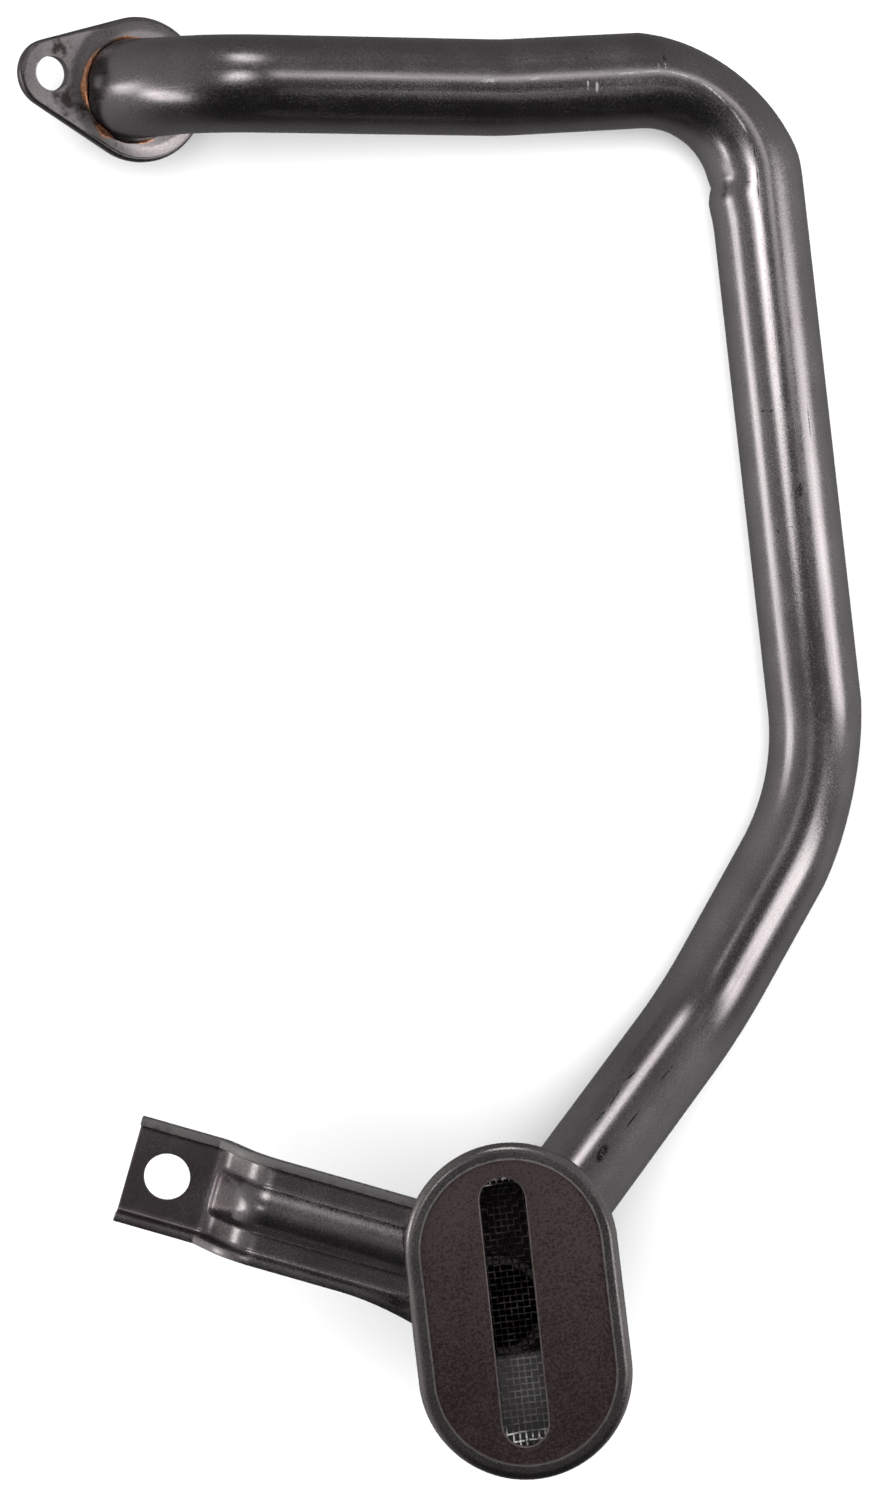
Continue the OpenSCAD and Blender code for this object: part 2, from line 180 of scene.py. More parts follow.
def along_tube(point):
    """The place along the tube of a point on it, in millimetres."""
    def miss(place):
        past = max(-place.run, place.run - place.stretch.length, 0)
        return past + abs(place.offset.length - TUBE_R)
    return min((place_on(stretch, point) for stretch in STRETCHES), key=miss)


# Places in the photo

def ray_through(pixel):
    """Direction from the camera through a pixel of the photo."""
    focal = CAMERA_LENS / SENSOR * PHOTO_H
    return Vector(((pixel[0] - PHOTO_W / 2) / focal, (PHOTO_H / 2 - pixel[1]) / focal, -1)).normalized()


def skin_of(piece):
    """A piece's surface, for finding what a pixel of the photo shows."""
    return BVHTree.FromObject(piece, bpy.context.evaluated_depsgraph_get())


def seen_at(skin, pixel):
    """The point of a surface that the photo shows at a pixel, in millimetres."""
    return skin.ray_cast(CAMERA_PLACE, ray_through(pixel))[0] / MM


# Making pieces

# Points nearer than this are one point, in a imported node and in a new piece
NODE_WELD = 0.002
WELD = 0.01


def start_fresh():
    """Leaves edit mode with nothing selected."""
    if bpy.context.object and bpy.context.object.mode != "OBJECT":
        bpy.ops.object.mode_set(mode="OBJECT")
    bpy.ops.object.select_all(action="DESELECT")


def take_up(piece):
    """Makes a piece the one that is worked on."""
    start_fresh()
    bpy.context.view_layer.objects.active = piece
    piece.select_set(True)


def open_up(piece):
    """Takes up a piece in edit mode with all of it selected."""
    take_up(piece)
    bpy.ops.object.mode_set(mode="EDIT")
    bpy.ops.mesh.select_all(action="SELECT")


def new_ring(name, sides, radius, place, rotation):
    """A ring of points as a new piece in edit mode, from measures in millimetres."""
    start_fresh()
    bpy.ops.mesh.primitive_circle_add(
        vertices=sides, radius=radius * MM, location=place * MM, rotation=rotation)
    piece = bpy.context.object
    piece.name = name
    bpy.ops.object.transform_apply(location=True, rotation=True, scale=True)
    open_up(piece)
    return piece


def copy_of_node(node, name):
    """A merged copy of a CAD node's mesh, as a new piece."""
    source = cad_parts[node]
    piece = bpy.data.objects.new(name, source.data.copy())
    bpy.context.scene.collection.objects.link(piece)
    piece.data.materials.clear()
    open_up(piece)
    bpy.ops.mesh.remove_doubles(threshold=NODE_WELD * MM)
    bpy.ops.object.mode_set(mode="OBJECT")
    if piece.data.has_custom_normals:
        bpy.ops.mesh.customdata_custom_splitnormals_clear()
    return piece


def apply_all(piece):
    """Applies every modifier of a piece in turn."""
    take_up(piece)
    for modifier in list(piece.modifiers):
        bpy.ops.object.modifier_apply(modifier=modifier.name)


def smooth(piece, angle=35):
    """Smooth shading with edges sharper than the angle kept crisp."""
    take_up(piece)
    bpy.ops.object.shade_smooth_by_angle(angle=math.radians(angle))
    piece.select_set(False)


def weld(piece):
    """Joins a piece's meeting points and turns its faces out."""
    open_up(piece)
    bpy.ops.mesh.remove_doubles(threshold=WELD * MM)
    bpy.ops.mesh.normals_make_consistent(inside=False)
    bpy.ops.object.mode_set(mode="OBJECT")


def round_edges(piece, width, segments, angle):
    """Adds a rounding of the edges that are sharper than an angle."""
    rounding = piece.modifiers.new("edge", "BEVEL")
    rounding.width = width * MM
    rounding.segments = segments
    rounding.limit_method = "ANGLE"
    rounding.angle_limit = math.radians(angle)


def note_points(piece, name, values):
    """Notes a value at each of a piece's points."""
    notes = piece.data.attributes.new(name, "FLOAT", "POINT")
    notes.data.foreach_set("value", values)


def settle(piece, material, slot, *nodes):
    """Gives a finished piece its material and its body, and hides the nodes that it stands for."""
    piece.data.materials.clear()
    piece.data.materials.append(material)
    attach(piece, "root")
    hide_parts(*nodes)


# The suction tube

TUBE_SIDES = 80
STRAIGHT_STEP = 1.6
BEND_STEP = 1.6
SHOULDER = 0.1
# How far bending pressed in the outer side of each bend, in the order of the bends
FLATTENED = (0.7, 0, 2.0, 0.85, 0.4, 0.6)
CORNER = 2
# The corner is flat for most of its sweep and turns tightly at its end
CORNER_FLAT_SHARE = 0.9
# Where the corner ends, its inner side is creased, with a bulge after the crease
CREASE_DEPTH = 0.5
CREASE_LEN = 1.5
BULGE_H = 0.5
BULGE_AT = 3.4
BULGE_LEN = 2.8
CREASE_REACH = 0.3
# The elbow's outer side runs out to the flange over a rounded foot
FOOT_OUT = 3.0
FOOT_LEN = 16
FOOT_CURVE = 1.3
FOOT_TURN = math.radians(200)
FOOT_SINK = 1.0


def move_ring(offset, scale=None):
    """Pulls a copy of the selected ring along, and sizes it about its own centre."""
    bpy.ops.mesh.extrude_region_move(TRANSFORM_OT_translate={"value": offset * MM})
    if scale:
        mesh = bmesh.from_edit_mesh(bpy.context.object.data)
        ring = [v.co for v in mesh.verts if v.select]
        centre = sum(ring, Vector()) / len(ring)
        bpy.ops.transform.resize(value=(scale, scale, scale), center_override=centre)


def run_straight(direction, length):
    """Carries the selected ring along a straight leg in even steps."""
    steps = max(1, round(length / STRAIGHT_STEP))
    for _ in range(steps):
        move_ring(direction * (length / steps))


def run_bend(bend):
    """Swings the selected ring round a bend."""
    centre = (bend.start + bend.inward * bend.radius) * MM
    axis = bend.heading.cross(bend.inward)
    steps = max(3, round(bend.length / BEND_STEP))
    bpy.ops.mesh.spin(steps=steps, angle=-bend.length / bend.radius, center=centre, axis=axis)


def sweep_tube():
    """The outside of the tube: a ring pulled from the spigot's mouth to the head."""
    stub = LEG_DIRS[0]
    mouth_r = SPIGOT_R - SPIGOT_CHAMFER
    facing = stub.to_track_quat("Z", "Y").to_euler()
    tube = new_ring("tube", TUBE_SIDES, mouth_r, stub * -SPIGOT_LEN, facing)
    bpy.ops.mesh.select_mode(type="VERT")
    move_ring(stub * SPIGOT_CHAMFER, SPIGOT_R / mouth_r)
    run_straight(stub, SPIGOT_LEN - SPIGOT_CHAMFER)
    move_ring(stub * SHOULDER, TUBE_R / SPIGOT_R)
    for i, direction in enumerate(LEG_DIRS):
        length = LEG_LENS[i] - bend_tangent(i - 1) - bend_tangent(i)
        run_straight(direction, length - (SHOULDER if i == 0 else 0))
        if i < len(BEND_RADII):
            run_bend(STRETCHES[2 * i + 1])
    weld(tube)
    return tube


def pressed_by(place, bend):
    """How far the tube's skin is pressed towards the inside of a bend, in millimetres."""
    outward = max(-place.offset.normalized().dot(place.inward), 0)
    share = min(max(place.run / place.stretch.length, 0), 1)
    if bend == CORNER:
        share = min(share / CORNER_FLAT_SHARE, 1)
    return FLATTENED[bend] * math.sin(math.pi * share) * outward ** 1.5


def crease_rise(place):
    """How far the corner's crease and bulge move the tube's skin out, in millimetres."""
    corner = STRETCHES[2 * CORNER + 1]
    inside = Quaternion(corner.heading.cross(corner.inward), corner.length / corner.radius) @ corner.inward
    reach = (place.offset.normalized().dot(inside) - CREASE_REACH) / (1 - CREASE_REACH)
    past = place.along - corner.begin - corner.length
    dent = CREASE_DEPTH * math.exp(-(past / CREASE_LEN) ** 2)
    bulge = BULGE_H * math.exp(-((past - BULGE_AT) / BULGE_LEN) ** 2)
    return (bulge - dent) * max(reach, 0)


def foot_out(angle):
    """How far the tube's foot stands out on the flange, at a bearing in the flange's own frame."""
    return FOOT_OUT * max(math.cos(angle - FOOT_TURN), 0) ** 0.8


def foot_spread(place):
    """How far the skin of the stub leans out towards its foot on the flange, in millimetres."""
    rise = place.along - FLANGE_TOP
    if rise < -FOOT_SINK or rise > FOOT_LEN:
        return 0
    local = flange_frame().inverted() @ place.offset
    fade = 1 - max(rise, 0) / FOOT_LEN
    return foot_out(math.atan2(local.y, local.x)) * fade ** FOOT_CURVE


def press_bends(tube):
    """Flattens and creases the bends as bending left them, and notes each point's unrolled place."""
    unrolled = tube.data.attributes.new("unrolled", "FLOAT_VECTOR", "POINT")
    places = [along_tube(v.co / MM) for v in tube.data.vertices]
    for v, place, note in zip(tube.data.vertices, places, unrolled.data):
        note.vector = unrolled_place(place.angle, place.along)
        v.co += place.offset.normalized() * (crease_rise(place) + foot_spread(place)) * MM
        if place.stretch.radius:
            bend = STRETCHES.index(place.stretch) // 2
            v.co += place.inward * pressed_by(place, bend) * MM


def unrolled_place(angle, along):
    """A place on the tube's skin as if the tube were straight and upright, in metres."""
    return Vector((TUBE_R * math.cos(angle), TUBE_R * math.sin(angle), along)) * MM


def make_tube():
    """The bent tube with its wall."""
    tube = sweep_tube()
    press_bends(tube)
    wall = tube.modifiers.new("wall", "SOLIDIFY")
    wall.thickness = TUBE_WALL * MM
    wall.offset = -1
    apply_all(tube)
    smooth(tube)
    return tube


# The support bracket

BRACKET_T = 1.5
BRACKET_W = 20.4
BRACKET_LEN = 54.6
SIDE_FLANGE_H = 4
FOLD_R = 1
FOLD_LEN = FOLD_R * math.pi / 2
FLAT_LEN = 17.4
JOGGLE_RUN = 7
JOGGLE_RISE = 7.5
JOGGLE_LOW_R = 4.5
JOGGLE_TOP_R = 8
BRACKET_HOLE_R = 4.45
BRACKET_HOLE_IN = 7.4
RIB_W = 9
RIB_H = 1.9
RIB_END = 1
RIB_FOOT_H = 0.6
RIB_NOSE = 6
BRACKET_DROP = 9
BRACKET_Y = 12.7
BRACKET_TURN = math.radians(-22.7)
WALL_INSET = 3.6
WALL_R = HEAD_R - WALL_INSET
# The wall is searched for between these places along the bracket
WALL_SEARCH = (-10.0, 30.0)
SEARCH_STEPS = 40
TAB_H = 4.4
SHEET_ROWS = 160
SHEET_COLUMNS = 72
TAB_ROWS = 14
SHEET_EDGE = 0.25
HOLE_SIDES = 72
RIB_FILLET = 0.18
RIB_FADE = 0.6
# The lower side flange spreads a little where it meets the head
FLARE = 1.0
FLARE_LEN = 10
# The joggle makes the sheet longer than its plan
PATH_GAIN = math.hypot(JOGGLE_RUN, JOGGLE_RISE) - JOGGLE_RUN


def head_frame():
    """From the head's own frame, with its rim face at height 0, to the part's frame, in millimetres."""
    rim = Vector((UNDER_HEAD.x, UNDER_HEAD.y, cad_box[1].z / MM))
    return (Matrix.Translation(rim) @ Matrix.Rotation(HEAD_TURN, 4, "Z")
            @ Matrix.Translation((-PORT_X, -PORT_Y, 0)))


def bracket_frame():
    """From the bracket's own frame, with its sheet's top at height 0, to the part's frame."""
    return (head_frame() @ Matrix.Translation((-HEAD_R, BRACKET_Y, -BRACKET_DROP))
            @ Matrix.Rotation(BRACKET_TURN, 4, "Z"))


def wall_reach(y):
    """How far along the bracket the shell's wall lies, at a place across the bracket."""
    turn = Matrix.Rotation(BRACKET_TURN, 4, "Z")
    low, high = WALL_SEARCH
    for _ in range(SEARCH_STEPS):
        middle = (low + high) / 2
        p = turn @ Vector((middle, y, 0)) + Vector((-HEAD_R, BRACKET_Y, 0))
        if oval_distance(p.x, p.y) > WALL_R:
            low = middle
        else:
            high = middle
    return low


def joggle_path(s):
    """Place and slope of the sheet's top, at a distance along it from the bracket's end."""
    angle = math.atan2(JOGGLE_RISE, JOGGLE_RUN)
    low_cut, top_cut = (r * math.tan(angle / 2) for r in (JOGGLE_LOW_R, JOGGLE_TOP_R))
    ramp = math.hypot(JOGGLE_RUN, JOGGLE_RISE) - low_cut - top_cut
    # Each stretch as its length and its turn
    stretches = (
        (FLAT_LEN - low_cut, 0), (JOGGLE_LOW_R * angle, angle), (ramp, 0),
        (JOGGLE_TOP_R * angle, -angle), (math.inf, 0),
    )
    x, z, slope = -BRACKET_LEN, -JOGGLE_RISE, 0.0
    for length, turn in stretches:
        run = min(s, length)
        s -= run
        if turn:
            radius = length / turn
            ahead = slope + run / radius
            x += radius * (math.sin(ahead) - math.sin(slope))
            z += radius * (math.cos(slope) - math.cos(ahead))
            slope = ahead
        else:
            x += run * math.cos(slope)
            z += run * math.sin(slope)
    return x, z, slope


def rib_rise(y, s, to_wall):
    """Height of the rib over the sheet: round along its top, broad-nosed on the ramp, gone at the wall."""
    foot = FLAT_LEN
    crest = FLAT_LEN + math.hypot(JOGGLE_RUN, JOGGLE_RISE)
    climb = min(max((s - foot) / (crest - foot), 0), 1)
    height = RIB_FOOT_H + (RIB_H - RIB_FOOT_H) * climb - max(foot - s, 0) * RIB_FADE
    power = RIB_NOSE + (2 - RIB_NOSE) * climb
    crown = height - max(height, RIB_FOOT_H) * (2 * abs(y) / RIB_W) ** power
    fade = min(max(to_wall / RIB_END, 0), 1)
    return fade * (crown + math.sqrt(crown * crown + RIB_FILLET * RIB_FILLET)) / 2


def fold_up(past):
    """How far out and up the sheet has come, so far along a fold and the upright after it."""
    a = min(past, FOLD_LEN) / FOLD_R
    return FOLD_R * math.sin(a), FOLD_R * (1 - math.cos(a)) + max(past - FOLD_LEN, 0)


def bracket_point(along, across):
    """A point of the bracket's pressed sheet, on its upper face."""
    flat = BRACKET_W / 2 - BRACKET_T - FOLD_R
    v = (2 * across - 1) * (flat + FOLD_LEN + SIDE_FLANGE_H - FOLD_R)
    side = math.copysign(1, v)
    v = abs(v)
    out, h = fold_up(max(v - flat, 0))
    y = side * (min(v, flat) + out)
    end = BRACKET_LEN + wall_reach(y) - BRACKET_T - FOLD_R
    s = along * (end + PATH_GAIN)
    x, z, slope = joggle_path(s)
    h += rib_rise(y, s, end - BRACKET_LEN - x)
    flare = max((x + FLARE_LEN) / FLARE_LEN, 0) ** 2 * FLARE
    if side < 0 and v > flat:
        y -= flare * min(h / SIDE_FLANGE_H, 1)
    return Vector((x - h * math.sin(slope), y, z + h * math.cos(slope)))


def tab_point(along, across):
    """A point of the tab that turns up at the bracket's end and hugs the shell's wall."""
    y = (across - 0.5) * (BRACKET_W - 2 * BRACKET_T)
    out, rise = fold_up(along * (FOLD_LEN + TAB_H - FOLD_R))
    return Vector((wall_reach(y) - BRACKET_T - FOLD_R + out, y, rise))


def formed_sheet(name, rows, columns, place, to_part):
    """A grid pressed to a form: place gives each point, in millimetres, from its two shares."""
    start_fresh()
    bpy.ops.mesh.primitive_grid_add(x_subdivisions=rows, y_subdivisions=columns, size=2)
    sheet = bpy.context.object
    sheet.name = name
    for v in sheet.data.vertices:
        v.co = to_part @ place((v.co.x + 1) / 2, (v.co.y + 1) / 2) * MM
    return sheet


def thicken(sheet, thickness, edge):
    """Gives a sheet its wall, on the side away from its normals, and breaks its edges."""
    wall = sheet.modifiers.new("wall", "SOLIDIFY")
    wall.thickness = thickness * MM
    wall.offset = -1
    wall.use_even_offset = True
    round_edges(sheet, edge, segments=2, angle=50)
    rim = sheet.vertex_groups.new(name="rim")
    wall.rim_vertex_group = rim.name
    apply_all(sheet)
    weights = [sum(group.weight for group in v.groups) for v in sheet.data.vertices]
    note_points(sheet, "cut_edge", weights)


def join(piece, *others):
    """Joins other pieces into one, under the first one's name."""
    take_up(piece)
    for other in others:
        other.select_set(True)
    bpy.ops.object.join()
    return piece


def drill(piece, centre, axis, radius, depth):
    """Cuts a round hole through a piece."""
    start_fresh()
    bpy.ops.mesh.primitive_cylinder_add(
        vertices=HOLE_SIDES, radius=radius * MM, depth=depth * MM, location=centre * MM,
        rotation=axis.to_track_quat("Z", "Y").to_euler())
    cutter = bpy.context.object
    hole = piece.modifiers.new("hole", "BOOLEAN")
    hole.operation = "DIFFERENCE"
    hole.solver = "EXACT"
    hole.object = cutter
    apply_all(piece)
    bpy.data.objects.remove(cutter)


def make_bracket():
    """The stamped bracket: one pressed sheet with its flanges, joggle, rib, hole and tab."""
    to_part = bracket_frame()
    bracket = formed_sheet("bracket", SHEET_ROWS, SHEET_COLUMNS, bracket_point, to_part)
    thicken(bracket, BRACKET_T, SHEET_EDGE)
    hole = to_part @ Vector((BRACKET_HOLE_IN - BRACKET_LEN, 0, -JOGGLE_RISE - BRACKET_T / 2))
    drill(bracket, hole, UP, BRACKET_HOLE_R, 4 * BRACKET_T)
    tab = formed_sheet("tab", TAB_ROWS, SHEET_COLUMNS, tab_point, to_part)
    thicken(tab, BRACKET_T, SHEET_EDGE)
    join(bracket, tab)
    smooth(bracket)
    return bracket


# The strainer screen

WIRE_R = 0.17
WEAVE_PITCH = 1.2
WEAVE_RISE = 0.12
RIM_RISE = 0.03
SCREEN_RIM_Z = -2.2
DISH_FLOOR_Z = -9.2
DISH_MOUTH_R = 14
DISH_FLOOR_R = 10.8
DISH_ROUND = 0.8
SCREEN_R = 18.2
WIRE_SIDES = 6
STEPS_A_PITCH = 4
LENGTH_WIRES = 31
CROSS_WIRES = 50


def oval_distance(x, y):
    """Distance from the head's middle line, which its oval outlines follow."""
    return math.hypot(x, max(abs(y) - HALF_STRAIGHT, 0))


def dish_height(x, y):
    """Height of the screen's middle: a floor, a sloping wall and a flat rim, with soft corners."""
    slope = (SCREEN_RIM_Z - DISH_FLOOR_Z) / (DISH_MOUTH_R - DISH_FLOOR_R)
    wall = (oval_distance(x, y) - DISH_FLOOR_R) * slope
    depth = SCREEN_RIM_Z - DISH_FLOOR_Z
    lifted = (wall + math.hypot(wall, DISH_ROUND)) / 2
    left = depth - lifted
    return SCREEN_RIM_Z - (left + math.hypot(left, DISH_ROUND)) / 2


def woven_height(x, y, over):
    """Height of a wire's middle, which passes over and under the wires across it."""
    rim = min(max((oval_distance(x, y) - DISH_MOUTH_R) / WEAVE_PITCH, 0), 1)
    rise = WEAVE_RISE + (RIM_RISE - WEAVE_RISE) * rim
    return dish_height(x, y) + over * rise


def wire_bars(name, count, length):
    """Parallel straight bars along Y, in short links, centred on the origin."""
    link = WEAVE_PITCH / STEPS_A_PITCH
    links = math.ceil(length / link)
    end = Vector((0, -links * link / 2, 0))
    bars = new_ring(name, WIRE_SIDES, WIRE_R, end, (math.pi / 2, 0, 0))
    bpy.ops.mesh.extrude_region_move(TRANSFORM_OT_translate={"value": (0, link * MM, 0)})
    bpy.ops.object.mode_set(mode="OBJECT")
    for axis, number, step in ((1, links, link), (0, count, WEAVE_PITCH)):
        row = bars.modifiers.new("row", "ARRAY")
        row.use_relative_offset = False
        row.use_constant_offset = True
        offset = [0, 0, 0]
        offset[axis] = step * MM
        row.constant_offset_displace = offset
        row.count = number
        row.use_merge_vertices = axis == 1
        row.merge_threshold = WELD * MM
    apply_all(bars)
    shift = (count - 1) / 2 * WEAVE_PITCH * MM
    for v in bars.data.vertices:
        v.co.x -= shift
    return bars


def weave(bars, crosswise):
    """Presses straight bars into wires that pass over and under, down into the dish."""
    half_turn = math.pi / WEAVE_PITCH
    shift = 0.5 if crosswise else 0
    for v in bars.data.vertices:
        x, y, z = v.co / MM
        line = round(x / WEAVE_PITCH - shift)
        middle = (line + shift) * WEAVE_PITCH
        over = math.cos((y + (0.5 - shift) * WEAVE_PITCH) * half_turn) * (-1 if line % 2 else 1)
        if crosswise:
            x, y, z = -y, x, z + woven_height(-y, middle, -over)
        else:
            z += woven_height(middle, y, over)
        v.co = Vector((x, y, z)) * MM
    mesh = bmesh.new()
    mesh.from_mesh(bars.data)
    outside = [v for v in mesh.verts if oval_distance(v.co.x / MM, v.co.y / MM) > SCREEN_R]
    bmesh.ops.delete(mesh, geom=outside, context="VERTS")
    mesh.to_mesh(bars.data)
    mesh.free()
    bars.data.transform(Matrix.Scale(MM, 4) @ head_frame() @ Matrix.Scale(1 / MM, 4))


def make_screen():
    """The woven screen, dished behind the slot and held flat at its rim."""
    lengthwise = wire_bars("screen", LENGTH_WIRES, 2 * (HALF_STRAIGHT + SCREEN_R) + WEAVE_PITCH)
    weave(lengthwise, False)
    crosswise = wire_bars("cross_wires", CROSS_WIRES, 2 * SCREEN_R + WEAVE_PITCH)
    weave(crosswise, True)
    screen = join(lengthwise, crosswise)
    open_up(screen)
    bpy.ops.mesh.fill_holes(sides=WIRE_SIDES)
    bpy.ops.mesh.normals_make_consistent(inside=False)
    bpy.ops.object.mode_set(mode="OBJECT")
    smooth(screen, angle=60)
    return screen


# The pump flange

FLANGE_T = 2
FLANGE_R = 14.4
EAR_REACH = 19.5
EAR_TURN = math.radians(185)
EAR_R = 6.8
EAR_STEPS = 40
FLANGE_HOLE_R = 3.4
PAD_R = 13.4
PAD_H = 0.5
PAD_BLEND = 4.5
SEAT_R = 12.4
FLANGE_TOP = FLANGE_T + PAD_H
TOP_EDGE_R = 0.8
LOW_EDGE_R = 0.3
FLANGE_ROUND = 240
FLANGE_ACROSS = 64
HOLE_EDGE = 0.15
# The shares of the flange's sheet at which its top, upper edge, lower edge and underside end
TOP_TO = 0.4
EDGE_TO = 0.55
CORNER_TO = 0.65
UNDER_TO = 0.95


def flange_frame():
    """From the flange's own frame, with the tube going up from its mating face, to the part's frame."""
    up = LEG_DIRS[0]
    ahead = pointing(STUB[1], STUB[2] - 90)
    side = up.cross(ahead)
    return Matrix((ahead, side, up)).transposed().to_4x4()


def flange_reach(angle):
    """Distance from the tube's middle to the flange's edge, which wraps round the tube and the bolt."""
    reach = 0
    for step in range(EAR_STEPS + 1):
        share = step / EAR_STEPS
        ahead = EAR_REACH * share * math.cos(angle - EAR_TURN)
        aside = EAR_REACH * share * math.sin(angle - EAR_TURN)
        radius = FLANGE_R + (EAR_R - FLANGE_R) * share
        if abs(aside) < radius:
            reach = max(reach, ahead + math.sqrt(radius * radius - aside * aside))
    return reach


def pad_height(r):
    """Height of the flange's top, which swells softly into a round pad."""
    share = min(max((PAD_R - r) / PAD_BLEND + 0.5, 0), 1)
    return FLANGE_T + PAD_H * share * share * (3 - 2 * share)


def flange_point(round_share, across):
    """A point of the flange's skin: over its top, round its edge, back under it and up its bore."""
    angle = 2 * math.pi * round_share
    reach = flange_reach(angle)
    top_end = reach - TOP_EDGE_R
    low_end = reach - LOW_EDGE_R
    if across < TOP_TO:
        r = TUBE_R + (top_end - TUBE_R) * across / TOP_TO
        z = pad_height(r)
    elif across < EDGE_TO:
        a = (across - TOP_TO) / (EDGE_TO - TOP_TO) * math.pi / 2
        r = top_end + TOP_EDGE_R * math.sin(a)
        z = FLANGE_T - TOP_EDGE_R * (1 - math.cos(a))
    elif across < CORNER_TO:
        a = (across - EDGE_TO) / (CORNER_TO - EDGE_TO) * math.pi / 2
        r = low_end + LOW_EDGE_R * math.cos(a)
        z = LOW_EDGE_R * (1 - math.sin(a))
    elif across < UNDER_TO:
        r = low_end + (TUBE_R - low_end) * (across - CORNER_TO) / (UNDER_TO - CORNER_TO)
        z = PAD_H if r < SEAT_R else 0
    else:
        r = TUBE_R
        z = PAD_H + (FLANGE_TOP - PAD_H) * (across - UNDER_TO) / (1 - UNDER_TO)
    return Vector((r * math.cos(angle), r * math.sin(angle), z))


def make_flange():
    """The stamped flange with its soft pad, rounded edge and bolt hole."""
    to_part = flange_frame()
    flange = formed_sheet("flange", FLANGE_ROUND, FLANGE_ACROSS, flange_point, to_part)
    weld(flange)
    smooth(flange, angle=40)
    ear = Vector((EAR_REACH * math.cos(EAR_TURN), EAR_REACH * math.sin(EAR_TURN), FLANGE_T / 2))
    drill(flange, to_part @ ear, LEG_DIRS[0], FLANGE_HOLE_R, 4 * FLANGE_T)
    round_edges(flange, HOLE_EDGE, segments=3, angle=70)
    apply_all(flange)
    smooth(flange, angle=40)
    return flange


# Braze

BRAZE_ROUND = 200
BRAZE_ACROSS = 16
BRAZE_THIN = 0.35
BRAZE_LUMP = 0.06
# How the braze wavers: its waves round the tube, and how far they swing
LUMP_WAVES = 12
LUMP_TWIST = 6
POOL_WAVES = 6
POOL_SWING = 0.25
NECK_WAVES = 1.7
NECK_MIDDLE = 0.6
NECK_SWING = 0.8
NECK_MOST = 1
# Height of the neck's end, where its braze lies
NECK_END_Z = 34.636
GROOVE_POOLED = 0.65
# Where the braze pooled at the flange: the pixel that shows it, its spread round the tube and its size
FLANGE_POOLS = (
    ((85, 86), 0.26, 0.65),
    ((92, 58), 0.2, 0.3),
    ((133, 39), 0.26, 0.5),
    ((100, 135), 0.14, 0.85),
    ((148, 143), 0.16, 0.5),
)


def flange_pooled(angle):
    """How much braze lies at a bearing round the tube on the flange, in millimetres."""
    to_flange = flange_frame().inverted()
    eye = to_flange @ (CAMERA_PLACE / MM)
    size = BRAZE_THIN
    for pixel, spread, more in FLANGE_POOLS:
        ray = to_flange @ ray_through(pixel)
        spot = eye + ray * ((FLANGE_TOP - eye.z) / ray.z)
        turn = math.remainder(angle - math.atan2(spot.y, spot.x), 2 * math.pi)
        size += more * math.exp(-(turn / spread) ** 2)
    return size


def neck_pooled(angle):
    """How much braze lies round the tube at the head's neck, in millimetres."""
    spot = Vector((math.cos(angle), math.sin(angle), 0)) * NECK_WAVES
    return min(max(NECK_MIDDLE + NECK_SWING * noise.noise(spot), BRAZE_THIN), NECK_MOST)


def braze_ring(name, inner, pooled, to_part):
    """An uneven bead run round the tube: thick where the braze pooled, thin where it drew in."""
    def place(round_share, across):
        angle = 2 * math.pi * round_share
        spot = Vector((math.cos(angle), math.sin(angle), 0))
        size = pooled(angle) * (1 + POOL_SWING * noise.noise(spot * POOL_WAVES))
        tube_r = TUBE_R + inner(angle)
        if across < 0.5:
            a = across * math.pi
            r = tube_r + size * (1 - math.cos(a))
            z = size * (1 - math.sin(a))
        elif across < 0.75:
            r = tube_r + size * (0.75 - across) * 4
            z = 0
        else:
            r = tube_r
            z = size * (across - 0.75) * 4
        lump = BRAZE_LUMP * noise.noise(spot * LUMP_WAVES + Vector((0, 0, LUMP_TWIST * across)))
        return Vector((spot.x * (r + lump), spot.y * (r + lump), z))

    ring = formed_sheet(name, BRAZE_ROUND, BRAZE_ACROSS, place, to_part)
    weld(ring)
    smooth(ring, angle=50)
    to_ring = to_part.inverted()
    places = [to_ring @ (v.co / MM) for v in ring.data.vertices]
    note_points(ring, "pooled", [pooled(math.atan2(p.y, p.x)) for p in places])
    return ring


def bevelled_copy(node, name, edge):
    """A merged copy of a CAD node with its flat faces cleared and its edges rounded."""
    piece = copy_of_node(node, name)
    open_up(piece)
    bpy.ops.mesh.dissolve_limited(angle_limit=math.radians(0.5))
    bpy.ops.object.mode_set(mode="OBJECT")
    round_edges(piece, edge, segments=4, angle=40)
    apply_all(piece)
    smooth(piece, angle=30)
    return piece


# Materials

def new_material(name):
    """An empty node material with its surface shader."""
    material = bpy.data.materials.new(name)
    material.use_nodes = True
    return material, material.node_tree, material.node_tree.nodes["Principled BSDF"]


def node(tree, kind, inputs=None, **settings):
    """Adds a node, sets its inputs to values or links them to sockets, and returns it."""
    new = tree.nodes.new("ShaderNode" + kind)
    for name, value in settings.items():
        setattr(new, name, value)
    for name, value in (inputs or {}).items():
        if isinstance(value, bpy.types.NodeSocket):
            tree.links.new(value, new.inputs[name])
        else:
            new.inputs[name].default_value = value
    return new


def maths(tree, operation, *values):
    """A number worked out from values or sockets."""
    return node(tree, "Math", dict(enumerate(values)), operation=operation).outputs["Value"]


def measure(tree, operation, *vectors):
    """A number worked out from vectors or their sockets."""
    return node(tree, "VectorMath", dict(enumerate(vectors)), operation=operation).outputs["Value"]


def object_place(tree):
    """The piece's own coordinates, in metres."""
    return node(tree, "TexCoord").outputs["Object"]


def tube_place(tree):
    """Coordinates of the tube as if it were straight, in metres."""
    return node(tree, "Attribute", attribute_name="unrolled").outputs["Vector"]


def stretched(tree, place, scale):
    """Coordinates scaled along each axis."""
    return node(tree, "Mapping", {"Vector": place, "Scale": scale}).outputs["Vector"]


